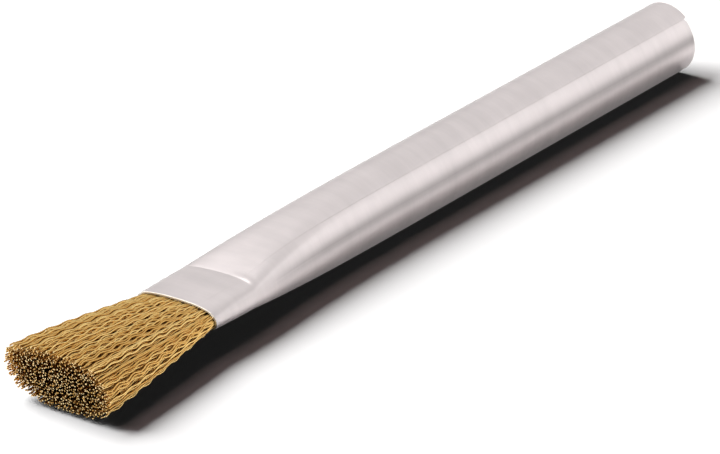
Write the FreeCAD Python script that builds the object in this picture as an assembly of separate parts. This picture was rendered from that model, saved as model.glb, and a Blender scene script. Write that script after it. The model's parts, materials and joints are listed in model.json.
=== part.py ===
"""Small wire brush: a tube of rolled tinned strip, pressed flat round a tuft of brass wire.

The brush lies on a bench, its length along X and its wires towards -X. The origin is the
middle of the object's box, on the bench, with +Z up. Lengths are millimetres.
"""
import FreeCAD, Part
import os
from math import atan2, cos, hypot, radians, sin, sqrt

# Handle: strip rolled into a tube, its two edges meeting at a seam
tube_diameter = 9.525
wall = 0.35
handle_length = 88.9
seam_angle = 41.0          # up from the -Y side
seam_gap = 0.06
seam_corner_radius = 0.7   # rounded corners of the strip, at the open end
strip_end_step = 0.35      # the two corners of the strip don't meet level

# Pressed end
mouth_thickness = 3.5
mouth_squareness = 1.17    # 0.7071 is an ellipse, and more is squarer
pressed_length = 7.4
crease_length = 0.6
crease_rise = 0.4          # step up, on each face, at the back of the pressed flat
crease_squareness = 1.33   # just behind the step
taper_length = 34.0        # from the crease to the full round
taper_bow = 2.9            # how fast the height comes back; 1 is a straight taper

# Tuft of wires
wire_trim = 18.5           # free length of the wires
clamped_depth = 11.0       # how far the wires reach into the tube
tip_width = 19.0
tip_thickness = 7.4
tip_drop = 0.5             # the loose ends sag this much below the tube's axis
columns = 9
layers = ("bottom", "middle", "top")
outline_power = 2.8        # how square the tuft's outline is; 2 is an ellipse
edge_share = 0.95          # the outermost wires' place across the room at the mouth
wall_clearance = 0.05      # wires to the tube's inner wall
lock_gap = 0.06            # between neighbouring locks, at the mouth
flex_clearance = 0.12      # between the clamped and the free lengths, where they bend

# Where things are along X, and the tube's axis above the bench
overall_length = wire_trim + handle_length
tip_x = -overall_length / 2
mouth_x = tip_x + wire_trim
crease_x = mouth_x + pressed_length
taper_x = crease_x + crease_length
round_x = taper_x + taper_length
butt_x = overall_length / 2
tube_radius = tube_diameter / 2
axis_z = tube_radius
flex_radius = mouth_thickness / 2    # free lengths start this far from the bending line

circle_squareness = sqrt(0.5)
squarest = 20.0            # all but a rectangle
tolerance = 1e-9
past_end = 1.0             # how far a cutting tool runs past what it cuts
taper_spans = 14
station_crowding = 1.3     # sections lie closer together next to the crease
curve_samples = 60


# ---- sections of the tube -------------------------------------------------------------

def quarter_points(half_width, half_height):
    """Control points of a quarter of a section, from its side (y, 0) to its top (0, z)."""
    return (half_width, 0.0), (half_width, half_height), (0.0, half_height)


def quarter_at(points, squareness, t):
    """Point on a quarter, a rational curve whose middle weight is its squareness, and its slope."""
    s = 1 - t
    weights = (s * s, 2 * s * t * squareness, t * t)
    changes = (-2 * s, 2 * (s - t) * squareness, 2 * t)
    total, change = sum(weights), sum(changes)
    place = tuple(sum(w * p[k] for w, p in zip(weights, points)) / total for k in (0, 1))
    slope = tuple((sum(c * p[k] for c, p in zip(changes, points)) - change * place[k]) / total
                  for k in (0, 1))
    return place, slope


def quarter_length(points, squareness):
    places = [quarter_at(points, squareness, i / curve_samples)[0] for i in range(curve_samples + 1)]
    return sum(hypot(b[0] - a[0], b[1] - a[1]) for a, b in zip(places, places[1:]))


def value_where(rising, target, low, high):
    """Where a rising function reaches a target, between low and high."""
    while high - low > tolerance:
        middle = (low + high) / 2
        if rising(middle) < target:
            low = middle
        else:
            high = middle
    return (low + high) / 2


def strip_length(half_width, half_height, squareness):
    """Length of the middle of the strip, over a quarter of a section of these outer sizes."""
    return quarter_length(quarter_points(half_width - wall / 2, half_height - wall / 2), squareness)


quarter_strip = strip_length(tube_radius, tube_radius, circle_squareness)


def half_width_for(half_height, squareness):
    """Outer half width at which the strip keeps the length it has in the round tube."""
    return value_where(lambda width: strip_length(width, half_height, squareness),
                       quarter_strip, wall, 2 * tube_radius)


def squareness_for(half_width, half_height):
    """Squareness at which the strip keeps that length, in a section of this width and height."""
    return value_where(lambda squareness: strip_length(half_width, half_height, squareness),
                       quarter_strip, 0.0, squarest)


def section_at(x):
    """Outer half width, half height and squareness of the formed end at x.

    The die sets the height, with its step at the crease. The width has no step there, because
    the sides are free, so the section is squarest at the back of the pressed flat.
    """
    pressed = mouth_thickness / 2
    risen = pressed + crease_rise
    crease_width = half_width_for(risen, crease_squareness)
    pressed_squareness = squareness_for(crease_width, pressed)
    if x >= round_x - tolerance:
        return tube_radius, tube_radius, circle_squareness
    if x < taper_x:
        along = min(1.0, (x - mouth_x) / pressed_length)
        behind = max(0.0, (x - crease_x) / crease_length)
        height = pressed + crease_rise * behind
        squareness = mouth_squareness + (pressed_squareness - mouth_squareness) * along
        squareness += (crease_squareness - pressed_squareness) * behind
    else:
        left = 1 - (x - taper_x) / taper_length
        height = tube_radius - (tube_radius - risen) * left**taper_bow
        squareness = circle_squareness + (crease_squareness - circle_squareness) * left**taper_bow
    return half_width_for(height, squareness), height, squareness


def section_wire(x, inset=0.0, at=None):
    """Closed wire of the section at x, moved in by inset, drawn at the x called at."""
    width, height, squareness = section_at(x)
    at = x if at is None else at
    edges = []
    for sign_y, sign_z, back in ((1, 1, False), (-1, 1, True), (-1, -1, False), (1, -1, True)):
        curve = Part.BezierCurve()
        points = [FreeCAD.Vector(at, sign_y * y, axis_z + sign_z * z)
                  for y, z in quarter_points(width - inset, height - inset)]
        curve.setPoles(points[::-1] if back else points)
        curve.setWeight(2, squareness)
        edges.append(curve.toShape())
    return Part.Wire(edges)


def form_stations():
    """Where the formed end's sections lie: the mouth, both sides of the crease, and down the taper."""
    taper = [taper_x + taper_length * (i / taper_spans) ** station_crowding
             for i in range(1, taper_spans + 1)]
    return [mouth_x, crease_x, taper_x] + taper


def formed_solid(inset, overrun):
    """Solid inside the tube's surface moved in by inset, running past both ends by overrun."""
    wires = [section_wire(x, inset) for x in form_stations()[1:]]
    wires.insert(0, section_wire(mouth_x, inset, mouth_x - overrun))
    spans = [Part.makeLoft([near, far], True, True) for near, far in zip(wires, wires[1:])]
    barrel = Part.makeCylinder(tube_radius - inset, butt_x + overrun - round_x,
                               FreeCAD.Vector(round_x, 0, axis_z), FreeCAD.Vector(1, 0, 0))
    return spans[0].fuse(spans[1:] + [barrel])


# ---- the seam and the open end ---------------------------------------------------------

def around(angle, radius, x):
    """Point at an angle up from the -Y side."""
    turn = radians(angle)
    return FreeCAD.Vector(x, -radius * cos(turn), axis_z + radius * sin(turn))


def seam_point(x):
    """Where the seam crosses the section at x, at the middle of the wall, with its outward normal."""
    width, height, squareness = section_at(x)
    points = quarter_points(width - wall / 2, height - wall / 2)
    target = radians(seam_angle) * (tube_radius - wall / 2)
    run, last = 0.0, points[0]
    for i in range(1, curve_samples + 1):
        point, slope = quarter_at(points, squareness, i / curve_samples)
        step = hypot(point[0] - last[0], point[1] - last[1])
        if run + step >= target:
            break
        run, last = run + step, point
    share = (target - run) / step
    y = last[0] + (point[0] - last[0]) * share
    z = last[1] + (point[1] - last[1]) * share
    length = hypot(*slope)
    return (-y, z), (-slope[1] / length, -slope[0] / length)


def seam_blade():
    """Thin curved blade along the seam, through the whole wall."""
    reach = wall
    loops = []
    for x in form_stations() + [butt_x]:
        (y, z), (normal_y, normal_z) = seam_point(x)
        at = {mouth_x: x - past_end, butt_x: x + past_end}.get(x, x)
        corners = []
        for out, side in ((1, 1), (1, -1), (-1, -1), (-1, 1)):
            across = side * seam_gap / 2
            corners.append(FreeCAD.Vector(at, y + out * reach * normal_y - across * normal_z,
                                          axis_z + z + out * reach * normal_z + across * normal_y))
        loops.append(Part.makePolygon(corners + corners[:1]))
    return Part.makeLoft(loops, True, True)


def end_trim(first, last):
    """Tool that cuts the open end square, a little short where the strip's second edge lies."""
    steps = 12
    far = 2 * tube_radius
    curve, spine = [], []
    for i in range(steps + 1):
        turn = first + (last - first) * i / steps
        x = butt_x - strip_end_step * turn / 360
        curve.append(around(seam_angle + turn, far, x))
        spine.append(around(0, 0, x))
    rim = Part.BSplineCurve()
    rim.interpolate(curve)
    face = Part.makeRuledSurface(Part.makeLine(spine[0], spine[-1]), rim.toShape())
    return face.extrude(FreeCAD.Vector(2 * past_end + strip_end_step, 0, 0))


def corner_notch():
    """Tool that rounds the strip's two corners where they meet at the open end."""
    r = seam_corner_radius
    short_x = butt_x - strip_end_step
    far_x = butt_x + 2 * past_end
    turn = radians(seam_angle)
    along_rim = FreeCAD.Vector(0, sin(turn), cos(turn))
    outward = FreeCAD.Vector(0, -cos(turn), sin(turn))
    base = FreeCAD.Vector(0, 0, axis_z) + outward * (tube_radius / 2)

    def at(x, across):
        return base + FreeCAD.Vector(x, 0, 0) + along_rim * across

    def corner(x, side):
        bend = r * (1 - sqrt(0.5))
        return Part.Arc(at(x - r, 0), at(x - bend, side * bend), at(x, side * r)).toShape()

    edges = [corner(butt_x, 1),
             Part.makeLine(at(butt_x, r), at(far_x, r)),
             Part.makeLine(at(far_x, r), at(far_x, -r)),
             Part.makeLine(at(far_x, -r), at(short_x, -r)),
             corner(short_x, -1),
             Part.makeLine(at(short_x - r, 0), at(butt_x - r, 0))]
    outline = Part.Wire(Part.__sortEdges__(edges))
    return Part.Face(outline).extrude(outward * tube_radius)


def handle_tube():
    tube = formed_solid(0.0, 0.0).cut(formed_solid(wall, past_end))
    tube = tube.cut(seam_blade())
    for first in (0, 180):
        tube = tube.cut(end_trim(first, first + 180))
    return tube.cut(corner_notch())


# ---- the wires, in locks ----------------------------------------------------------------

def wire_room(x):
    """Half width and half height that the pressed tube leaves for the wires at x."""
    width, _, _ = section_at(x)
    return width - wall - wall_clearance, mouth_thickness / 2 - wall - wall_clearance


def outline_share(across):
    """Height of the tuft's outline, as a share, at a share of its half width."""
    return (1 - abs(across) ** outline_power) ** (1 / outline_power)


def lock_sides(column, layer):
    """Low and high sides of a lock across the tuft and up it, as shares of its half sizes."""
    low = edge_share * (2 * column / columns - 1)
    high = edge_share * (2 * (column + 1) / columns - 1)
    tallest = outline_share(max(abs(low), abs(high)))
    bottom = tallest * (2 * layer / len(layers) - 1)
    top = tallest * (2 * (layer + 1) / len(layers) - 1)
    return low, high, bottom, top


def lock_corners(column, layer):
    """The four long edges of a lock, each (y, z) from the tube's axis: deep, at the mouth, at the tip."""
    low, high, bottom, top = lock_sides(column, layer)
    rooms = (wire_room(mouth_x + clamped_depth), wire_room(mouth_x),
             (tip_width / 2 / edge_share, tip_thickness / 2))
    edges = []
    for across, up, side_y, side_z in ((low, bottom, 1, 1), (high, bottom, -1, 1),
                                       (high, top, -1, -1), (low, top, 1, -1)):
        deep, mouth, tip = ((across * half_width + side_y * lock_gap / 2,
                             up * half_height + side_z * lock_gap / 2)
                            for half_width, half_height in rooms)
        edges.append((deep, mouth, (tip[0], tip[1] - tip_drop)))
    return edges


def block(first, second):
    """Solid with six flat faces between two loops of four points."""
    sides = [Part.Face(Part.makePolygon(loop + loop[:1])) for loop in (first, second)]
    for i in range(4):
        j = (i + 1) % 4
        loop = [first[i], first[j], second[j], second[i]]
        sides.append(Part.Face(Part.makePolygon(loop + loop[:1])))
    solid = Part.makeSolid(Part.makeShell(sides))
    if solid.Volume < 0:
        solid.reverse()
    return solid


def free_lock(column, layer):
    """The free lengths of one lock, clear of the round bending zone in front of the mouth."""
    edges = lock_corners(column, layer)
    middle_z = sum(mouth[1] for _, mouth, _ in edges) / 4
    lean = atan2(middle_z, sqrt(flex_radius**2 - middle_z**2))
    starts, ends = [], []
    for _, mouth, tip in edges:
        rise = (tip[1] - mouth[1]) / wire_trim
        spread = (tip[0] - mouth[0]) / wire_trim
        out = (flex_radius - mouth[1] * sin(lean)) / (cos(lean) + rise * sin(lean))
        starts.append(FreeCAD.Vector(mouth_x - out, mouth[0] + spread * out,
                                     axis_z + mouth[1] + rise * out))
        ends.append(FreeCAD.Vector(tip_x, tip[0], axis_z + tip[1]))
    return block(starts, ends)


def clamped_lock(column, layer):
    """The lengths of one lock that the pressed tube grips, and the first bit past the mouth."""
    reach = flex_radius - flex_clearance
    starts, ends = [], []
    for deep, mouth, _ in lock_corners(column, layer):
        out = sqrt(reach**2 - mouth[1] ** 2)
        spread = (mouth[0] - deep[0]) / clamped_depth
        starts.append(FreeCAD.Vector(mouth_x + clamped_depth, deep[0], axis_z + deep[1]))
        ends.append(FreeCAD.Vector(mouth_x - out, mouth[0] + spread * out, axis_z + mouth[1]))
    return block(starts, ends)


# ---- write the parts ---------------------------------------------------------------------

def main():
    os.makedirs("parts", exist_ok=True)
    parts = {"handle_tube": handle_tube()}
    for layer, name in enumerate(layers):
        roots = [clamped_lock(column, layer) for column in range(columns)]
        parts[f"clamped_wires_{name}"] = Part.makeCompound(roots)
        for column in range(columns):
            parts[f"wire_lock_{name}_{column + 1}"] = free_lock(column, layer)
    for name, shape in parts.items():
        print(name, len(shape.Solids), shape.isValid(), round(shape.Volume, 3))
        shape.exportStep(f"parts/{name}.step")


main()
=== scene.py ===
"""Looks for the tube-handled brass wire brush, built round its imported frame.

The handle is one strip of tinned steel, rolled, pressed flat at one end and creased behind the
pressed flat. The wires are crimped brass, laid in locks that wave together.
"""

import json
from math import cos, pi, radians, sin, sqrt

import bmesh
import bpy
import numpy as np
from bpy.props import FloatProperty, FloatVectorProperty, IntProperty, PointerProperty
from mathutils import Matrix, Vector


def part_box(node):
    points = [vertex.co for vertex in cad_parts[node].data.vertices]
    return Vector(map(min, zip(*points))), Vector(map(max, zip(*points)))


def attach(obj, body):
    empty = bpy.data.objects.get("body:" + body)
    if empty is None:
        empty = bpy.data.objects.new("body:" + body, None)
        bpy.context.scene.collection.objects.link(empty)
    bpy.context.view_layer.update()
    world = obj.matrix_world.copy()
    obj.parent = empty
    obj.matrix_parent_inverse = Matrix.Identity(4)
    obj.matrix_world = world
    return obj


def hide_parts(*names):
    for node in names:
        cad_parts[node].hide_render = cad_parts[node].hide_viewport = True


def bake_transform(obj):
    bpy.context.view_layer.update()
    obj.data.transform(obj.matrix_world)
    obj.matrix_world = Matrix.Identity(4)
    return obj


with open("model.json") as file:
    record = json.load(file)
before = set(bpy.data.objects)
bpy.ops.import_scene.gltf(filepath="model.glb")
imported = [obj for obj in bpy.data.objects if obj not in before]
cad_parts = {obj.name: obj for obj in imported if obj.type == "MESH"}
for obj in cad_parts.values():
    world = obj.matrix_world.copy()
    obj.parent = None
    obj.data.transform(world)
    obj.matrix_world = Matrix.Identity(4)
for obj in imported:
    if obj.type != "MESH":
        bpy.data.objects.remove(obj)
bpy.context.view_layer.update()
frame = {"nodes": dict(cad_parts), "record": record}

bl_info = {
    "name": "Wire brush",
    "version": (1, 0, 0),
    "blender": (4, 5, 0),
    "location": "3D View > Sidebar > Brush",
    "description": "Builds a rolled tube handle, its crimped brass wires and a plain stage",
    "category": "Object",
}

MM = 0.001


def mount_radius(name):
    mount = next(m for m in frame["record"]["mounts"] if m["name"] == name)
    return mount["dims"]["r_mm"] * MM


TUBE_LOW, TUBE_HIGH = (Vector(corner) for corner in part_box("handle_tube"))
TIP_LOW = Vector(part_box("wire_lock_middle_1")[0])
ROOT_HIGH = Vector(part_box("clamped_wires_middle")[1])
OUTER_RADIUS = mount_radius("handle_grip")
WALL = OUTER_RADIUS - mount_radius("butt_bore")
AXIS = Vector((0, 0, TUBE_LOW.z + OUTER_RADIUS))
MOUTH_X, BUTT_X, TIP_X = TUBE_LOW.x, TUBE_HIGH.x, TIP_LOW.x
LAYERS = ("bottom", "middle", "top")
COLUMNS = sum(name.startswith("wire_lock_top_") for name in frame["nodes"])


# ---- node trees ---------------------------------------------------------------------------

class Value:
    """A socket that takes part in sums: an expression on values adds its Math nodes."""

    def __init__(self, graph, socket):
        self.graph, self.socket = graph, socket

    def __add__(self, other):
        return self.graph.math("ADD", self, other)

    def __sub__(self, other):
        return self.graph.math("SUBTRACT", self, other)

    def __rsub__(self, other):
        return self.graph.math("SUBTRACT", other, self)

    def __mul__(self, other):
        return self.graph.math("MULTIPLY", self, other)

    def __truediv__(self, other):
        return self.graph.math("DIVIDE", self, other)

    def __rtruediv__(self, other):
        return self.graph.math("DIVIDE", other, self)

    def __pow__(self, other):
        return self.graph.math("POWER", self, other)

    def __lt__(self, other):
        return self.graph.math("LESS_THAN", self, other)

    def __gt__(self, other):
        return self.graph.math("GREATER_THAN", self, other)

    __radd__, __rmul__ = __add__, __mul__


class Graph:
    """A node tree that is being built."""

    def __init__(self, tree):
        self.tree = tree

    def node(self, kind, settings=None, **sockets):
        """Adds a node, sets its settings, then its sockets. Fill_Caps is the socket "Fill Caps"."""
        node = self.tree.nodes.new(kind)
        for name, value in (settings or {}).items():
            setattr(node, name, value)
        for name, value in sockets.items():
            self.feed(self.find(node.inputs, name), value)
        return node

    def find(self, sockets, name):
        words = name.replace("_", " ")
        return next(s for s in sockets if s.enabled and s.name == words)

    def feed(self, socket, value):
        """Links a value to a socket, or sets a plain number, colour or name on it."""
        if isinstance(value, Value):
            self.tree.links.new(value.socket, socket)
        else:
            socket.default_value = value

    def out(self, node, name=None):
        if name is None:
            return Value(self, next(s for s in node.outputs if s.enabled))
        return Value(self, self.find(node.outputs, name))

    def value(self, kind, settings=None, **sockets):
        """The first output of a new node."""
        return self.out(self.node(kind, settings, **sockets))

    def math(self, operation, *operands):
        node = self.node("ShaderNodeMath", {"operation": operation})
        for socket, operand in zip(node.inputs, operands):
            self.feed(socket, operand)
        return self.out(node)

    def clamp(self, value, low=0.0, high=1.0):
        return self.value("ShaderNodeClamp", Value=value, Min=low, Max=high)

    def between(self, share, low, high):
        return low + (high - low) * share

    def smooth(self, value, low, high):
        """0 at low, 1 at high, and an even change between. Low may be the larger of the two."""
        return self.value("ShaderNodeMapRange", {"interpolation_type": "SMOOTHSTEP"},
                          Value=value, From_Min=low, From_Max=high)

    def mix(self, share, first, second):
        return self.value("ShaderNodeMix", {"data_type": "RGBA"}, Factor=share, A=first, B=second)

    def noise(self, place, scale=1.0, detail=2.0, roughness=0.5):
        return self.value("ShaderNodeTexNoise", Vector=place, Scale=scale, Detail=detail,
                          Roughness=roughness)

    def stretched(self, place, *scales):
        """A place multiplied by a number along each axis."""
        node = self.node("ShaderNodeVectorMath", {"operation": "MULTIPLY"})
        self.feed(node.inputs[0], place)
        self.feed(node.inputs[1], scales)
        return self.out(node)

    def object_place(self):
        return self.out(self.node("ShaderNodeTexCoord"), "Object")

    def attribute(self, name):
        """A number that a mesh keeps at its points."""
        return self.out(self.node("ShaderNodeAttribute", {"attribute_name": name}), "Fac")

    def bump(self, height, strength, distance):
        return self.value("ShaderNodeBump", Height=height, Strength=strength, Distance=distance)


# ---- materials ----------------------------------------------------------------------------

RIM_HIGHLIGHT = (1.0, 0.93, 0.80, 1)       # painted highlight along the strip's cut edges, at the lip and the open end
INNER_SHADE_BRASS = (0.24, 0.10, 0.015, 1)     # painted shade on the wires inside the tuft
PALE_CUT_GLINT = (1.0, 0.78, 0.42, 1)         # cut end of a wire, bare brass, paled further as a painted glint
DULL_CUT = (0.62, 0.36, 0.10, 1)        # worn end of a wire


def tinted(colour, share):
    return (*(min(c * share, 1.0) for c in colour), 1)


def new_material(name, build):
    material = bpy.data.materials.new(name)
    material.use_nodes = True
    graph = Graph(material.node_tree)
    graph.tree.nodes.clear()
    shader = build(graph)
    output = graph.node("ShaderNodeOutputMaterial")
    graph.tree.links.new(shader.socket, output.inputs["Surface"])
    return material


def tin_plate(colour):
    """Satin tin plate: soft cloudy patches, fine rolling lines along the strip and a few rubs, with a
    painted dark reflection band along the side and a painted highlight on the cut edges.
    """
    def build(graph):
        place = graph.object_place()
        clouds = graph.noise(place, 160.0, 3.0, 0.55)
        lines = graph.noise(graph.stretched(place, 60, 5200, 5200), 1.0, 2.0, 0.6)
        grain = graph.noise(place, 3600.0, 3.0, 0.6)
        streaks = graph.noise(graph.stretched(place, 700, 90, 90), 1.0, 3.0, 0.6)
        rubs = graph.noise(graph.stretched(place, 90, 1100, 1100), 1.0, 4.0, 0.7)
        worn = graph.smooth(rubs, 0.60, 0.72)
        rim = graph.smooth(graph.attribute("cut_edge"), 0.55, 0.85)
        base = graph.mix(graph.clamp(clouds + streaks * 1.2 - 0.6), tinted(colour, 0.90),
                         tinted(colour, 1.05))
        # painted reflection: a dark band darkens the tin along its side
        base = graph.mix(graph.attribute("painted_side_band") * 0.52, base, tinted(colour, 0.06))
        # painted highlight: the strip's cut edges are coloured pale cream
        base = graph.mix(rim, base, RIM_HIGHLIGHT)
        rough = 0.36 + clouds * 0.10 + (lines - 0.5) * 0.10 - worn * 0.06
        return graph.value("ShaderNodeBsdfPrincipled", Base_Color=base, Metallic=1 - 0.6 * rim,
                           Roughness=graph.clamp(rough, 0.2, 0.8),
                           Normal=graph.bump(lines * 0.5 + grain * 0.5, 0.35, 0.02 * MM))
    return new_material("tin_plate", build)


def crimped_brass(bright, tarnished):
    """Drawn brass wire: each wire its own tone, tarnish in patches, painted shade on the wires inside the
    tuft, and cut ends paler in part as a painted glint.
    """
    def build(graph):
        place = graph.object_place()
        tone = graph.attribute("tone")
        cut = graph.smooth(graph.attribute("along"), 0.985, 0.998)
        patches = graph.noise(graph.stretched(place, 500, 1500, 1500), 1.0, 3.0, 0.6)
        drawing = graph.noise(graph.stretched(place, 3000, 20000, 20000), 1.0, 2.0, 0.6)
        dull = graph.clamp(0.9 * patches + 0.8 * tone - 0.58)
        base = graph.mix(dull, (*bright, 1), (*tarnished, 1))
        # painted shade: wires inside the tuft are darkened
        base = graph.mix(graph.attribute("inner") * 0.5, base, INNER_SHADE_BRASS)
        # cut ends: bare brass, paler in part as a painted glint
        base = graph.mix(cut * 0.9, base, graph.mix(graph.smooth(tone, 0.2, 0.8), PALE_CUT_GLINT, DULL_CUT))
        rough = graph.clamp(0.22 + 0.16 * dull - 0.04 * cut, 0.15, 0.8)
        return graph.value("ShaderNodeBsdfPrincipled", Base_Color=base, Metallic=1.0,
                           Roughness=rough, Normal=graph.bump(drawing, 0.15, 0.01 * MM))
    return new_material("crimped_brass", build)


def pale_floor(colour):
    """A matt floor with no gloss and a barely visible grain."""
    def build(graph):
        grain = graph.noise(graph.object_place(), 900.0, 3.0, 0.6)
        base = graph.mix(grain, tinted(colour, 0.99), tinted(colour, 1))
        return graph.value("ShaderNodeBsdfPrincipled", Base_Color=base, Roughness=0.9,
                           Specular_IOR_Level=0.0)
    return new_material("pale_floor", build)


# ---- the handle ---------------------------------------------------------------------------

CIRCLE = sqrt(0.5)         # squareness of a circle: the middle weight of each quarter's curve
SQUAREST = 20.0
SAMPLES = 96               # points on a quarter of a section
HALVINGS = 50
BOW_FADE = 1.6             # how fast the crease's bow dies away, per pressed length
PINCH_BEHIND = 0.35 * MM   # from the crease to the middle of the pinched spot
LIP_LENGTH = 0.6 * MM      # how far the lip's thinning runs back
END_ZONE = 2 * MM          # the rings at the open end that are trimmed
SEAM_ZONE = 1.2 * MM       # columns lie close together this far from the seam
SEAM_BEVEL = 0.3           # of the edge radius, along the seam


def smooth_step(value):
    value = np.clip(value, 0, 1)
    return value * value * (3 - 2 * value)


def spaced(low, high, step):
    return np.linspace(low, high, max(2, round((high - low) / step) + 1))


class Strip:
    """The middle of the rolled strip's wall, as sections along the handle.

    A section is four like quarters, each a rational curve. The strip is as long round every
    section as it is round the tube.
    """

    def __init__(self, sizes):
        self.sizes = sizes
        self.radius = OUTER_RADIUS - WALL / 2
        self.quarter = self.quarter_length(self.radius, self.radius, CIRCLE)
        self.total = 4 * self.quarter
        self.crease_x = MOUTH_X + sizes.pressed_length
        self.mouth_width = TUBE_HIGH.y - WALL / 2
        self.crease_width = sizes.crease_half_width - WALL / 2
        self.pressed = sizes.mouth_thickness / 2 - WALL / 2
        self.risen = self.pressed + sizes.crease_rise
        self.mouth_squareness = self.squareness_for(self.mouth_width, self.pressed)
        self.crease_squareness = self.squareness_for(self.crease_width, self.risen)
        self.fold = self.total - radians(sizes.seam_angle - sizes.fold_angle) * self.radius

    @staticmethod
    def quarter_curve(half_width, half_height, squareness):
        t = np.linspace(0, 1, SAMPLES)
        corner, end = 2 * t * (1 - t) * squareness, t * t
        total = (1 - t) ** 2 + corner + end
        return half_width * ((1 - t) ** 2 + corner) / total, half_height * (corner + end) / total

    def quarter_length(self, *section):
        y, z = self.quarter_curve(*section)
        return np.hypot(np.diff(y), np.diff(z)).sum()

    def solve(self, length, low, high):
        """Where a rising length reaches the quarter of the strip."""
        for _ in range(HALVINGS):
            middle = (low + high) / 2
            if length(middle) < self.quarter:
                low = middle
            else:
                high = middle
        return middle

    def width_for(self, height, squareness):
        return self.solve(lambda width: self.quarter_length(width, height, squareness),
                          0, 3 * self.radius)

    def squareness_for(self, width, height):
        return self.solve(lambda squareness: self.quarter_length(width, height, squareness),
                          0, SQUAREST)

    def section(self, x):
        """Half width, half height and squareness at x."""
        sizes = self.sizes
        if x < self.crease_x:
            share = (x - MOUTH_X) / sizes.pressed_length
            width = self.mouth_width + (self.crease_width - self.mouth_width) * share
            squareness = self.mouth_squareness
            squareness += (self.crease_squareness - self.mouth_squareness) * share
            return width, self.pressed, squareness
        behind = x - self.crease_x
        left = max(0.0, 1 - behind / sizes.taper_length) ** sizes.taper_bow
        step = sizes.crease_rise * left * float(np.exp(-behind / sizes.crease_length))
        height = self.radius - (self.radius - self.risen) * left
        squareness = CIRCLE + (self.crease_squareness - CIRCLE) * left
        return self.width_for(height, squareness), height - step, squareness

    def ring(self, x, places):
        """Points round the section at x, at these lengths along the strip from its lower edge up."""
        y, z = self.quarter_curve(*self.section(x))
        around_y = np.concatenate([-y, y[::-1][1:], y[1:], -y[::-1][1:]])
        around_z = np.concatenate([z, z[::-1][1:], -z[1:], -z[::-1][1:]])
        steps = np.hypot(np.diff(around_y), np.diff(around_z))
        lengths = np.concatenate([[0], np.cumsum(steps)])
        lengths *= self.total / lengths[-1]
        seam = radians(self.sizes.seam_angle) * self.radius
        where = (seam + places) % self.total
        return np.interp(where, lengths, around_y), np.interp(where, lengths, around_z)

    def stations(self):
        """Where the rings lie: close together at the mouth, the crease and the open end."""
        ends = (MOUTH_X, MOUTH_X + 1 * MM, self.crease_x - 1.2 * MM, self.crease_x + 1.6 * MM,
                self.crease_x + 6 * MM, BUTT_X - END_ZONE, BUTT_X)
        steps = (0.25 * MM, 0.5 * MM, 0.07 * MM, 0.3 * MM, 1.0 * MM, 0.12 * MM)
        spans = [spaced(low, high, step) for low, high, step in zip(ends, ends[1:], steps)]
        return np.unique(np.concatenate(spans))

    def places(self):
        """Lengths along the strip, close together next to the seam and at the side line."""
        near = spaced(self.sizes.seam_gap / 2, SEAM_ZONE, 0.08 * MM)
        middle = spaced(SEAM_ZONE, self.total - SEAM_ZONE, 0.19 * MM)
        fold = self.fold + spaced(-0.4 * MM, 0.4 * MM, 0.05 * MM)
        return np.unique(np.concatenate([near, middle, fold, self.total - near]))


def wall_middle(strip, stations, places):
    """Points in the middle of the wall, rows along it and columns round it.

    Each point takes its section from a little further back, the more so near the crease and
    towards the sides, so that the crease bows. Also gives how far past the crease that is.
    """
    sizes = strip.sizes
    fine = np.unique(np.concatenate([stations, stations[:-1] + np.diff(stations) / 2]))
    rings = np.array([strip.ring(x, places) for x in fine])
    fade = np.exp(-((stations - strip.crease_x) / sizes.pressed_length * BOW_FADE) ** 2)
    middle = np.zeros((len(stations), len(places), 3))
    past_crease = np.zeros((len(stations), len(places)))
    for column in range(len(places)):
        side, rise = rings[:, 0, column], rings[:, 1, column]
        across = np.interp(stations, fine, side) / TUBE_HIGH.y
        reach = np.clip(stations + sizes.crease_bow * across**2 * fade, MOUTH_X, BUTT_X)
        past_crease[:, column] = reach - strip.crease_x
        middle[:, column, 0] = stations
        middle[:, column, 1] = np.interp(reach, fine, side)
        middle[:, column, 2] = np.interp(reach, fine, rise)
    return middle, past_crease


def unit(vectors):
    return vectors / np.linalg.norm(vectors, axis=2, keepdims=True)


def outward_from(middle):
    """Direction out of the wall at each of its points."""
    outward = unit(np.cross(unit(np.gradient(middle, axis=1)), unit(np.gradient(middle, axis=0))))
    if (outward[:, :, 2] * middle[:, :, 2]).sum() < 0:
        outward = -outward
    return outward


def relief(strip, middle, past_crease, places):
    """How far the wall stands out of its plain sections: the seam's peak, the pinch and the side line."""
    sizes = strip.sizes
    behind = middle[:, :1, 0] - strip.crease_x
    from_seam = np.minimum(places, strip.total - places)
    peak = sizes.seam_peak * np.clip(1 - from_seam / sizes.seam_flat, 0, 1) ** 2
    peak = peak * smooth_step((behind - 4 * MM) / (12 * MM))
    line = sizes.fold_depth * np.exp(-((places - strip.fold) / sizes.fold_width) ** 2)
    line = line * smooth_step(behind / (5 * MM))
    pinch_x = (past_crease - PINCH_BEHIND) / sizes.pinch_length
    pinch_y = (middle[:, :, 1] + sizes.pinch_side) / sizes.pinch_width
    on_top = smooth_step(middle[:, :, 2] / MM)
    pinch = sizes.pinch_height * np.exp(-(pinch_x**2) - pinch_y**2) * on_top
    return peak + pinch - line


def trim_open_end(strip, middle, places):
    """Squeezes the last rings so that the open end steps at the seam and its corners are round."""
    corner = strip.sizes.seam_corner
    near = np.minimum(places, strip.total - places)
    inset = corner - np.sqrt(np.maximum(corner**2 - (corner - near) ** 2, 0))
    inset = np.where(near < corner, inset, 0)
    end = BUTT_X - inset - strip.sizes.end_step * places / strip.total
    start = BUTT_X - END_ZONE
    share = np.clip((middle[:, :, 0] - start) / (BUTT_X - start), 0, 1)
    trimmed = middle.copy()
    trimmed[:, :, 0] = np.where(share > 0, start + (end[None, :] - start) * share, middle[:, :, 0])
    return trimmed


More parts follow.
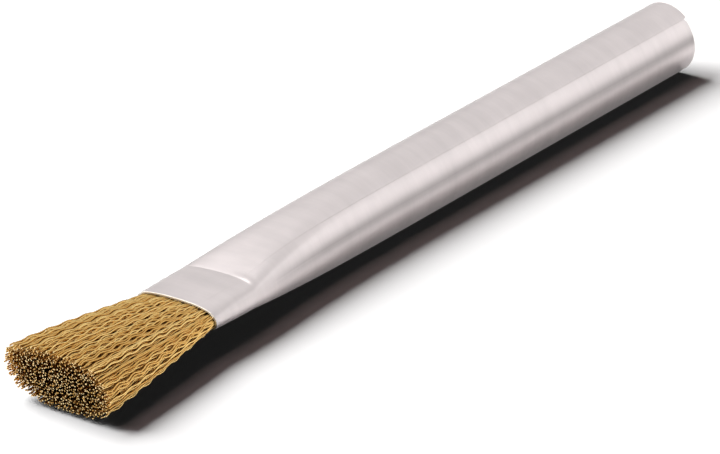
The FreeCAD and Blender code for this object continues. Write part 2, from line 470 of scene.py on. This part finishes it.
def build_handle_mesh(sizes):
    """The rolled strip as a closed wall, with a painted dark reflection band along its side."""
    strip = Strip(sizes)
    stations, places = strip.stations(), strip.places()
    middle, past_crease = wall_middle(strip, stations, places)
    outward = outward_from(middle)
    middle += outward * relief(strip, middle, past_crease, places)[:, :, None]
    middle = trim_open_end(strip, middle, places)
    thinning = sizes.mouth_thinning * WALL * np.exp(-(stations - MOUTH_X) / LIP_LENGTH)
    outer = middle + outward * WALL / 2
    inner = middle - outward * (WALL / 2 - thinning[:, None, None])
    side = (places - strip.fold) / (radians(sizes.side_spread) * strip.radius)
    taper = smooth_step((stations - strip.crease_x + 2 * MM) / (16 * MM))
    # the painted dark reflection band, strongest at the side line and weaker on the pressed flat
    painted_side_band = np.exp(-(side**2)) * (0.3 + 0.7 * taper)[:, None]
    return strip_mesh("rolled_strip", outer + np.array(AXIS), inner + np.array(AXIS), painted_side_band)


def strip_mesh(name, outer, inner, painted_side_band):
    """Closed wall between two grids of points, with its cut edges marked."""
    rows, columns = outer.shape[:2]
    count = rows * columns
    points = np.concatenate([outer.reshape(-1, 3), inner.reshape(-1, 3)])
    faces = []
    for i in range(rows - 1):
        for j in range(columns - 1):
            a, d = i * columns + j, (i + 1) * columns + j
            b, c = a + 1, d + 1
            faces += [(a, b, c, d), (count + d, count + c, count + b, count + a)]
    border = [(0, j) for j in range(columns)]
    border += [(i, columns - 1) for i in range(1, rows)]
    border += [(rows - 1, j) for j in range(columns - 2, -1, -1)]
    border += [(i, 0) for i in range(rows - 2, 0, -1)]
    ring = [i * columns + j for i, j in border]
    faces += [(b, a, count + a, count + b) for a, b in zip(ring, ring[1:] + ring[:1])]
    mesh = bpy.data.meshes.new(name)
    mesh.from_pydata(points.tolist(), [], faces)

    rim = {}
    for (i, _), (k, _), a, b in zip(border, border[1:] + border[:1], ring, ring[1:] + ring[:1]):
        weight = 1.0 if i == k and i in (0, rows - 1) else SEAM_BEVEL
        rim[min(a, b), max(a, b)] = weight
        rim[min(a, b) + count, max(a, b) + count] = weight
    weights = [rim.get((min(edge.vertices), max(edge.vertices)), 0.0) for edge in mesh.edges]
    cut = np.zeros((2, rows, columns))
    cut[:, [0, -1]] = 1
    for label, domain, values in (("bevel_weight_edge", "EDGE", weights),
                                  ("cut_edge", "POINT", cut.ravel()),
                                  ("painted_side_band", "POINT", np.tile(painted_side_band.ravel(), 2))):
        mesh.attributes.new(label, "FLOAT", domain).data.foreach_set("value", values)
    mesh.update()
    return mesh


def face_outwards(mesh):
    shape = bmesh.new()
    shape.from_mesh(mesh)
    bmesh.ops.recalc_face_normals(shape, faces=shape.faces)
    shape.to_mesh(mesh)
    shape.free()


def put_in_scene(name, mesh):
    """An object for this mesh, which throws no light back on the floor."""
    piece = bpy.data.objects.new(name, mesh)
    piece.visible_diffuse = False
    bpy.context.scene.collection.objects.link(piece)
    return piece


def settle(piece):
    """Turns a piece and its modifiers into one plain mesh, shaded smooth."""
    graph = bpy.context.evaluated_depsgraph_get()
    mesh = bpy.data.meshes.new_from_object(piece.evaluated_get(graph), depsgraph=graph)
    mesh.name = piece.name
    piece.modifiers.clear()
    piece.data = mesh
    for polygon in mesh.polygons:
        polygon.use_smooth = True


# ---- the wires ----------------------------------------------------------------------------

WHOLE_NUMBERS = ("Spans", "Seed")
TREE_INPUTS = (
    "Across From", "Across To", "Up From", "Up To", "Start", "End", "Spans", "Seed",
    "Mouth Half Width", "Mouth Half Height", "Mouth Power", "Deep Half Width", "Clamped Depth",
    "Tip Half Width", "Tip Half Height", "Tip Drop", "Tip Side", "Outline Power",
    "Side Limit", "Spread Power", "Wire Radius", "Wire Spacing", "Trim", "Trim Scatter",
    "Crimp Pitch", "Crimp Depth", "Strand Size", "Gather", "Wander", "Mouth X", "Axis Z",
)
INSIDE = 1.5 * MM          # where the free lengths' meshes begin, inside the mouth
TIP_GAP = 0.04 * MM        # from the longest wires to the end of the room for them
LINING = 0.6 * WALL        # from the tube's outside to the outermost wires
DEEP_SHARE = 0.87          # of the mouth's half width, at the wires' clamped ends
BEND_SHARE = 0.7           # a share of the free length, which no bend in the script uses
STRAY_REACH = 0.9 * MM     # how far a stray wire's tip stands off
THINNEST = 0.05 * MM       # least half height of the outline at the tuft's sides
CANDIDATES = 6.0           # places tried in each square of the spacing, before thinning out


def wire_tree(material):
    """One lock of crimped wires, picked out of the whole tuft by its share across and up.

    Wires are scattered over the cut face, which every lock shares, and each carries its own
    numbers. A straight line at each is then laid from the clamped end to the tip.
    """
    tree = bpy.data.node_groups.new("crimped_wires", "GeometryNodeTree")
    tree.interface.new_socket("Geometry", in_out="OUTPUT", socket_type="NodeSocketGeometry")
    for name in TREE_INPUTS:
        kind = "NodeSocketInt" if name in WHOLE_NUMBERS else "NodeSocketFloat"
        tree.interface.new_socket(name, in_out="INPUT", socket_type=kind)
    graph = Graph(tree)
    group = graph.node("NodeGroupInput")
    size = {name: graph.out(group, name) for name in TREE_INPUTS}

    # The cut face, and the wires of this lock
    face = graph.out(graph.node("GeometryNodeMeshGrid", Size_X=size["Tip Half Width"] * 2,
                                Size_Y=size["Tip Half Height"] * 2, Vertices_X=2, Vertices_Y=2), "Mesh")
    scatter = graph.node("GeometryNodeDistributePointsOnFaces", {"distribute_method": "POISSON"},
                         Mesh=face, Distance_Min=size["Wire Spacing"],
                         Density_Max=CANDIDATES / size["Wire Spacing"] ** 2, Seed=size["Seed"])
    points = graph.out(scatter, "Points")
    place = graph.value("GeometryNodeInputPosition")
    parts = graph.node("ShaderNodeSeparateXYZ", Vector=place)
    tip_y, tip_z = graph.out(parts, "X"), graph.out(parts, "Y")
    across = tip_y / size["Tip Half Width"]

    def outline_for(power):
        left = graph.math("MAXIMUM", 1 - graph.math("ABSOLUTE", across) ** power, 0.0)
        return left ** (1.0 / power)

    outline = outline_for(size["Outline Power"])
    up = tip_z / graph.math("MAXIMUM", size["Tip Half Height"] * outline, THINNEST)
    chosen = (across > size["Across From"]) * (across < size["Across To"])
    chosen = chosen * (up > size["Up From"]) * (up < size["Up To"])
    points = graph.value("GeometryNodeDeleteGeometry", {"domain": "POINT"}, Geometry=points,
                         Selection=chosen < 0.5)

    # Each wire's own numbers. Wires of one strand share their colour and centre.
    strand = graph.node("ShaderNodeTexVoronoi", {"feature": "F1"}, Vector=place,
                        Scale=1.0 / size["Strand Size"], Randomness=1.0)
    strand_mix = graph.node("FunctionNodeSeparateColor", Color=graph.out(strand, "Color"))
    centre = graph.node("ShaderNodeSeparateXYZ", Vector=graph.out(strand, "Position"))
    number = graph.value("GeometryNodeInputID")

    def chance(seed, low=0.0, high=1.0):
        return graph.value("FunctionNodeRandomValue", {"data_type": "FLOAT"}, Min=low, Max=high,
                           ID=number, Seed=seed)

    ripple = graph.noise(place, 0.5 / size["Strand Size"], 1.0)
    cut_short = graph.smooth(chance(17), 0.88, 1.0) * (up > 0.2)
    from_middle = graph.math("MAXIMUM", graph.math("ABSOLUTE", up), graph.math("ABSOLUTE", across))
    facts = {
        "across": across,
        "height": up * outline,
        "mouth_height": up * outline_for(size["Mouth Power"]),
        "tone": chance(11),
        # how deep inside the tuft a wire lies, for its painted shade
        "inner": graph.smooth(from_middle, 0.92, 0.60),
        "phase": graph.out(strand_mix, "Red") * 3.6 + chance(12, -1.4, 1.4) + 9.0 * ripple,
        "lean": pi / 2 + (graph.out(strand_mix, "Green") - 0.5) * 2.4 + chance(13, -0.5, 0.5),
        "depth": 0.65 + 0.7 * graph.out(strand_mix, "Blue"),
        "pull_y": graph.out(centre, "X") - tip_y,
        "pull_z": graph.out(centre, "Y") - tip_z,
        "wander": chance(14, 0.0, 2 * pi),
        "short": chance(15) + 9.0 * cut_short,
        "stray": graph.smooth(chance(16), 0.965, 1.0),
    }
    for name, fact in facts.items():
        points = graph.value("GeometryNodeStoreNamedAttribute", {"data_type": "FLOAT", "domain": "POINT"},
                             Geometry=points, Name=name, Value=fact)

    line = graph.value("GeometryNodeCurvePrimitiveLine", Start=(0, 0, 0), End=(1, 0, 0))
    line = graph.value("GeometryNodeResampleCurve", Curve=line, Count=size["Spans"] + 1)
    wires = graph.value("GeometryNodeInstanceOnPoints", Points=points, Instance=line)
    wires = graph.value("GeometryNodeRealizeInstances", Geometry=wires)

    def fact(name):
        return graph.value("GeometryNodeInputNamedAttribute", {"data_type": "FLOAT"}, Name=name)

    # How far out of the mouth each point lies: free runs from 0 to 1, held from 0 to 1 inwards
    factor = graph.out(graph.node("GeometryNodeSplineParameter"), "Factor")
    at_tip = size["End"] > 0.9 * size["Trim"]
    end = size["End"] - size["Trim Scatter"] * fact("short") * at_tip
    out = graph.between(factor, size["Start"], end)
    free = graph.clamp(out / size["Trim"])
    held = graph.clamp(out / size["Clamped Depth"] * -1.0)
    spread = 1 - (1 - free) ** size["Spread Power"]
    width = graph.between(spread, size["Mouth Half Width"], size["Tip Half Width"])
    width = width - (size["Mouth Half Width"] - size["Deep Half Width"]) * held
    height = graph.between(spread, fact("mouth_height") * size["Mouth Half Height"],
                           fact("height") * size["Tip Half Height"])

    # The crimp, the strands' gathering, the wires' slow wander and the strays
    wave = graph.math("SINE", out / size["Crimp Pitch"] * (2 * pi) + fact("phase"))
    swing = size["Crimp Depth"] * fact("depth") * graph.smooth(out, 0.0, INSIDE) * wave
    gather = size["Gather"] * free * free
    wander = size["Wander"] * free
    drift_y = graph.math("SINE", free * 4.0 + fact("wander")) * wander
    drift_z = graph.math("COSINE", free * 3.0 + fact("wander")) * wander
    stray = fact("stray") * free * free * STRAY_REACH * graph.math("COSINE", fact("wander") * 1.7)
    y = (fact("across") * width + size["Tip Side"] * spread
         + graph.math("COSINE", fact("lean")) * swing + fact("pull_y") * gather + drift_y + stray)
    z = (height + graph.math("SINE", fact("lean")) * swing + fact("pull_z") * gather + drift_z
         - size["Tip Drop"] * free + size["Axis Z"])
    y = graph.clamp(y, size["Side Limit"] * -1.0, size["Side Limit"])
    position = graph.value("ShaderNodeCombineXYZ", X=size["Mouth X"] - out, Y=y, Z=z)
    wires = graph.value("GeometryNodeSetPosition", Geometry=wires, Position=position)
    wires = graph.value("GeometryNodeStoreNamedAttribute", {"data_type": "FLOAT", "domain": "POINT"},
                        Geometry=wires, Name="along", Value=out / size["Trim"])
    profile = graph.out(graph.node("GeometryNodeCurvePrimitiveCircle", {"mode": "RADIUS"},
                                   Resolution=4, Radius=size["Wire Radius"]), "Curve")
    mesh = graph.value("GeometryNodeCurveToMesh", Curve=wires, Profile_Curve=profile, Fill_Caps=True)
    for name in facts:
        if name not in ("tone", "inner"):
            mesh = graph.value("GeometryNodeRemoveAttribute", Geometry=mesh, Name=name)
    mesh = graph.value("GeometryNodeRealizeInstances", Geometry=mesh)
    mesh = graph.value("GeometryNodeSetMaterial", Geometry=mesh, Material=material)
    output = graph.node("NodeGroupOutput")
    graph.tree.links.new(mesh.socket, output.inputs["Geometry"])
    return tree


def grow_wires(name, tree, values):
    """A mesh of wires made by the tree with these inputs."""
    piece = put_in_scene(name, bpy.data.meshes.new(name))
    modifier = piece.modifiers.new("wires", "NODES")
    modifier.node_group = tree
    for item in tree.interface.items_tree:
        if item.in_out == "INPUT":
            modifier[item.identifier] = values[item.name]
    settle(piece)
    return piece


def tuft_sizes(wires, handle):
    """The inputs that every lock of wires shares."""
    radius, middle = wires.diameter / 2, COLUMNS // 2 + 1
    mouth_half_width = TUBE_HIGH.y - LINING - radius
    tip_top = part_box(f"wire_lock_top_{middle}")[1][2]
    tip_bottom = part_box(f"wire_lock_bottom_{middle}")[0][2]
    return {
        "Spans": wires.spans, "Seed": wires.seed,
        "Mouth X": MOUTH_X, "Axis Z": AXIS.z, "Trim": MOUTH_X - TIP_X,
        "Mouth Half Width": mouth_half_width,
        "Mouth Half Height": handle.mouth_thickness / 2 - LINING - radius,
        "Mouth Power": wires.mouth_power,
        "Deep Half Width": DEEP_SHARE * mouth_half_width, "Clamped Depth": ROOT_HIGH.x - MOUTH_X,
        "Tip Half Width": wires.tip_half_width - radius - 0.5 * wires.crimp_depth,
        "Tip Half Height": (tip_top - tip_bottom) / 2,
        "Tip Drop": AXIS.z - (tip_top + tip_bottom) / 2, "Tip Side": wires.tip_side,
        "Outline Power": wires.outline_power, "Spread Power": wires.spread_power,
        "Side Limit": -TIP_LOW.y - radius, "Wire Radius": radius, "Wire Spacing": wires.spacing,
        "Trim Scatter": wires.trim_scatter, "Crimp Pitch": wires.crimp_pitch,
        "Crimp Depth": wires.crimp_depth, "Strand Size": wires.strand_size,
        "Gather": wires.gather, "Wander": wires.wander,
    }


# ---- sizes and colours --------------------------------------------------------------------

def length_of(name, description, default):
    return FloatProperty(name=name, description=description, default=default, unit="LENGTH")


def number_of(name, description, default):
    return FloatProperty(name=name, description=description, default=default)


def colour_of(name, description, default):
    return FloatVectorProperty(name=name, description=description, default=default, subtype="COLOR")


class HandleSizes(bpy.types.PropertyGroup):
    """Sizes of the rolled and pressed strip. Angles are in degrees, up from the side."""
    mouth_thickness: length_of("Mouth thickness", "Outside, across the pressed flat", 3.5 * MM)
    pressed_length: length_of("Pressed length", "From the mouth to the crease", 7.4 * MM)
    crease_half_width: length_of("Crease half width", "Half the width at the crease", 6.463 * MM)
    crease_rise: length_of("Crease rise", "Step up behind the pressed flat", 0.015 * MM)
    crease_length: length_of("Crease length", "How far the step's curve runs back", 0.3 * MM)
    crease_bow: length_of("Crease bow", "How far the crease curves towards the mouth", 0.6 * MM)
    pinch_height: length_of("Pinch height", "Of the pinched spot on the crease", 0.07 * MM)
    pinch_side: length_of("Pinch side", "From the middle to the pinched spot", 4.4 * MM)
    pinch_length: length_of("Pinch length", "Half its length along the handle", 0.45 * MM)
    pinch_width: length_of("Pinch width", "Half its width along the crease", 1.5 * MM)
    mouth_thinning: number_of("Mouth thinning", "Share of the wall lost at the lip", 0.3)
    taper_length: length_of("Taper length", "From the crease to the round tube", 34.6 * MM)
    taper_bow: number_of("Taper bow", "How fast the height comes back", 2.9)
    seam_angle: number_of("Seam angle", "Where the strip's edges meet", 41.0)
    seam_gap: length_of("Seam gap", "Between the strip's edges", 0.01 * MM)
    seam_peak: length_of("Seam peak", "How far the strip's edges stand up", 0.055 * MM)
    seam_flat: length_of("Seam flat", "Width of the flatter strip by each edge", 1.6 * MM)
    seam_corner: length_of("Seam corner", "Radius of the strip's corners", 0.45 * MM)
    end_step: length_of("End step", "Between the corners at the open end", 0.35 * MM)
    fold_angle: number_of("Fold angle", "Where the side line runs", 5.0)
    fold_width: length_of("Fold width", "Half width of the side line", 0.12 * MM)
    fold_depth: length_of("Fold depth", "Of the side line", 0.02 * MM)
    # half width of the painted dark reflection band along the side
    side_spread: number_of("Side spread", "Half width of the rubbed side", 11.0)
    edge_radius: length_of("Edge radius", "Of the lip and the open end", 0.14 * MM)
    colour: colour_of("Tin", "Colour of the tin plate", (0.86, 0.79, 0.785))


class WireSizes(bpy.types.PropertyGroup):
    """Sizes of the crimped wires."""
    diameter: length_of("Wire diameter", "Of one wire", 0.22 * MM)
    spacing: length_of("Spacing", "Least distance between wires at the tip", 0.30 * MM)
    crimp_pitch: length_of("Crimp pitch", "Length of one wave", 2.5 * MM)
    crimp_depth: length_of("Crimp depth", "From the middle to the crest of a wave", 0.125 * MM)
    strand_size: length_of("Strand size", "Across wires that wave together", 0.5 * MM)
    gather: number_of("Gather", "How far a strand's tips draw together", 0.06)
    wander: length_of("Wander", "How far a wire strays from straight", 0.05 * MM)
    trim_scatter: length_of("Trim scatter", "Difference between the wires' lengths", 0.14 * MM)
    outline_power: number_of("Outline power", "How square the tuft's outline is", 2.8)
    mouth_power: number_of("Mouth power", "How square the bundle is at the mouth", 2.65)
    spread_power: number_of("Spread power", "How early the tuft spreads", 1.3)
    tip_half_width: length_of("Tip half width", "Half the tuft's width at its tip", 9.2 * MM)
    tip_side: length_of("Tip side", "How far the tip leans to one side", 0.3 * MM)
    spans: IntProperty(name="Spans", description="Straight bits in one wire", default=40)
    seed: IntProperty(name="Seed", description="Of the wires' places", default=5)
    bright: colour_of("Brass", "Colour of clean brass", (1.0, 0.70, 0.27))
    tarnished: colour_of("Tarnish", "Colour of dull brass", (0.60, 0.29, 0.042))


class StageSizes(bpy.types.PropertyGroup):
    """The floor, the lights and the camera. Angles are in degrees, and light powers in watts."""
    distance: length_of("Camera distance", "From the brush", 0.40826)
    azimuth: number_of("Azimuth", "Camera's turn about the vertical", -41.72)
    elevation: number_of("Elevation", "Camera's height angle", 23.58)
    roll: number_of("Roll", "Camera's turn about its own axis", 9.8)
    lens: number_of("Lens", "Focal length, in millimetres", 171.82)
    floor_colour: colour_of("Floor", "Colour of the floor", (0.5, 0.5, 0.5))
    world: number_of("Room light", "Strength of the room seen in the metal", 0.72)
    key_power: number_of("Key power", "Of the light on the floor", 21.5)
    low_power: number_of("Low power", "Of the card under the tube", 0.0009)
    overhead_power: number_of("Overhead power", "Of the light in the shadow", 0.4)
    card_power: number_of("Card power", "Of the card seen in the crease", 1.5)
    band_power: number_of("Band power", "Of the card seen along the tube", 0.35)


# ---- operators ----------------------------------------------------------------------------

class BRUSH_OT_handle(bpy.types.Operator):
    """Build the rolled and pressed tube"""
    bl_idname = "brush.handle"
    bl_label = "Handle"

    def execute(self, context):
        sizes = context.scene.brush_handle
        mesh = build_handle_mesh(sizes)
        face_outwards(mesh)
        piece = put_in_scene("rolled_handle", mesh)
        bevel = piece.modifiers.new("edges", "BEVEL")
        bevel.width = sizes.edge_radius
        bevel.segments = 3
        bevel.limit_method = "WEIGHT"
        settle(piece)
        piece.data.materials.append(tin_plate(sizes.colour))
        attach(piece, "handle")
        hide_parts("handle_tube")
        return {"FINISHED"}


class BRUSH_OT_wires(bpy.types.Operator):
    """Grow the crimped wires, lock by lock"""
    bl_idname = "brush.wires"
    bl_label = "Wires"

    def execute(self, context):
        sizes = context.scene.brush_wires
        tree = wire_tree(crimped_brass(sizes.bright, sizes.tarnished))
        shared = tuft_sizes(sizes, context.scene.brush_handle)
        trim, depth = shared["Trim"], shared["Clamped Depth"]
        for row, layer in enumerate(LAYERS):
            up = {"Up From": 2 * row / len(LAYERS) - 1, "Up To": 2 * (row + 1) / len(LAYERS) - 1}
            held = grow_wires(f"held_wires_{layer}", tree, {
                **shared, **up, "Across From": -1.0, "Across To": 1.0,
                "Start": -depth, "End": -INSIDE, "Spans": sizes.spans // 3})
            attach(held, "handle")
            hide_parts(f"clamped_wires_{layer}")
            for column in range(COLUMNS):
                lock = grow_wires(f"lock_{layer}_{column + 1}", tree, {
                    **shared, **up, "Across From": 2 * column / COLUMNS - 1,
                    "Across To": 2 * (column + 1) / COLUMNS - 1,
                    "Start": -INSIDE, "End": trim - TIP_GAP})
                MOUTH_X - BEND_SHARE * trim
                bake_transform(lock)
                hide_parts(f"wire_lock_{layer}_{column + 1}")
        return {"FINISHED"}


FLOOR_HALF = 1.5
ROOM_LOW, ROOM_HIGH = 0.72, 1.08    # the room's shares of its strength, level and high up
ROOM_RISE = 0.6                     # height, as a share of straight up, where it is brightest
SENSOR = 36.0
CAMERA_TARGET = Vector((-8.57, -3.84, 4.76)) * MM


def lay_floor(sizes):
    mesh = bpy.data.meshes.new("floor")
    corners = [(x * FLOOR_HALF, y * FLOOR_HALF, 0) for x, y in ((-1, -1), (1, -1), (1, 1), (-1, 1))]
    mesh.from_pydata(corners, [], [(0, 1, 2, 3)])
    mesh.materials.append(pale_floor(sizes.floor_colour))
    put_in_scene("floor", mesh)


def light_room(sizes):
    """A white room that only the metal sees, a little brighter overhead."""
    world = bpy.data.worlds.new("room")
    world.use_nodes = True
    graph = Graph(world.node_tree)
    toward = graph.out(graph.node("ShaderNodeTexCoord"), "Generated")
    height = graph.out(graph.node("ShaderNodeSeparateXYZ", Vector=toward), "Z")
    strength = graph.between(graph.smooth(height, 0.0, ROOM_RISE), ROOM_LOW, ROOM_HIGH) * sizes.world
    background = world.node_tree.nodes["Background"]
    background.inputs["Color"].default_value = (1, 1, 1, 1)
    world.node_tree.links.new(strength.socket, background.inputs["Strength"])
    world.cycles_visibility.diffuse = False
    bpy.context.scene.world = world


def soft_light(name, toward, distance, width, height, power, colour=(1, 1, 1)):
    """A soft box that looks at the brush from this direction."""
    light = bpy.data.lights.new(name, "AREA")
    light.shape, light.size, light.size_y = "RECTANGLE", width, height
    light.energy, light.color = power, colour
    lamp = bpy.data.objects.new(name, light)
    direction = Vector(toward).normalized()
    lamp.location = direction * distance
    lamp.rotation_euler = direction.to_track_quat("Z", "Y").to_euler()
    bpy.context.scene.collection.objects.link(lamp)
    return lamp


def set_lights(sizes):
    """Two lights on the floor, and three cards that make the bands in the metal."""
    key = soft_light("key", (-0.1, 0.67, 0.83), 0.8, 0.6, 0.58, sizes.key_power)
    overhead = soft_light("overhead", (0, -0.05, 1), 0.6, 0.3, 0.3, sizes.overhead_power,
                          (1, 0.74, 0.72))
    for lamp in (key, overhead):
        lamp.visible_glossy = False
        lamp.data.cycles.use_multiple_importance_sampling = False
    card = soft_light("back_card", (-0.2, 0.6, 0.9), 0.8, 0.6, 0.45, sizes.card_power)
    band = soft_light("right_band", (0.6, -0.75, 0.28), 0.6, 0.7, 0.34, sizes.band_power)
    low = soft_light("low_card", (0, 0, -1), 0.0, 0.088, 0.02, sizes.low_power)
    low.location = (0.010, -0.005, 0.00003)
    for lamp in (card, band, low):
        lamp.visible_diffuse = lamp == band
        lamp.visible_camera = False


def set_camera(sizes):
    camera = bpy.data.cameras.new("camera")
    camera.lens, camera.sensor_width = sizes.lens, SENSOR
    view = bpy.data.objects.new("camera", camera)
    turn, rise = radians(sizes.azimuth), radians(sizes.elevation)
    back = Vector((sin(turn) * cos(rise), -cos(turn) * cos(rise), sin(rise)))
    aim = back.to_track_quat("Z", "Y").to_matrix().to_4x4()
    aim = aim @ Matrix.Rotation(radians(-sizes.roll), 4, "Z")
    view.matrix_world = Matrix.Translation(CAMERA_TARGET + back * sizes.distance) @ aim
    bpy.context.scene.collection.objects.link(view)
    bpy.context.scene.camera = view


class BRUSH_OT_stage(bpy.types.Operator):
    """Set the floor, the lights and the camera"""
    bl_idname = "brush.stage"
    bl_label = "Stage"

    def execute(self, context):
        for build in (lay_floor, light_room, set_lights, set_camera):
            build(context.scene.brush_stage)
        context.scene.view_settings.view_transform = "Standard"
        return {"FINISHED"}


class BRUSH_PT_panel(bpy.types.Panel):
    """Lists the brush's sizes and the buttons that build it."""
    bl_label = "Wire brush"
    bl_space_type = "VIEW_3D"
    bl_region_type = "UI"
    bl_category = "Brush"

    def draw(self, context):
        for group, operator in PANEL_ROWS:
            box = self.layout.box()
            sizes = getattr(context.scene, group)
            for name in sizes.bl_rna.properties.keys():
                if name not in ("rna_type", "name"):
                    box.prop(sizes, name)
            box.operator(operator)


PANEL_ROWS = (("brush_handle", "brush.handle"), ("brush_wires", "brush.wires"),
              ("brush_stage", "brush.stage"))
GROUPS = {"brush_handle": HandleSizes, "brush_wires": WireSizes, "brush_stage": StageSizes}
CLASSES = (*GROUPS.values(), BRUSH_OT_handle, BRUSH_OT_wires, BRUSH_OT_stage, BRUSH_PT_panel)


def register():
    for cls in CLASSES:
        bpy.utils.register_class(cls)
    for name, group in GROUPS.items():
        setattr(bpy.types.Scene, name, PointerProperty(type=group))


def unregister():
    for name in GROUPS:
        delattr(bpy.types.Scene, name)
    for cls in reversed(CLASSES):
        bpy.utils.unregister_class(cls)


def main():
    register()
    bpy.ops.brush.stage()
    bpy.ops.brush.handle()
    bpy.ops.brush.wires()


if __name__ == "__main__":
    main()
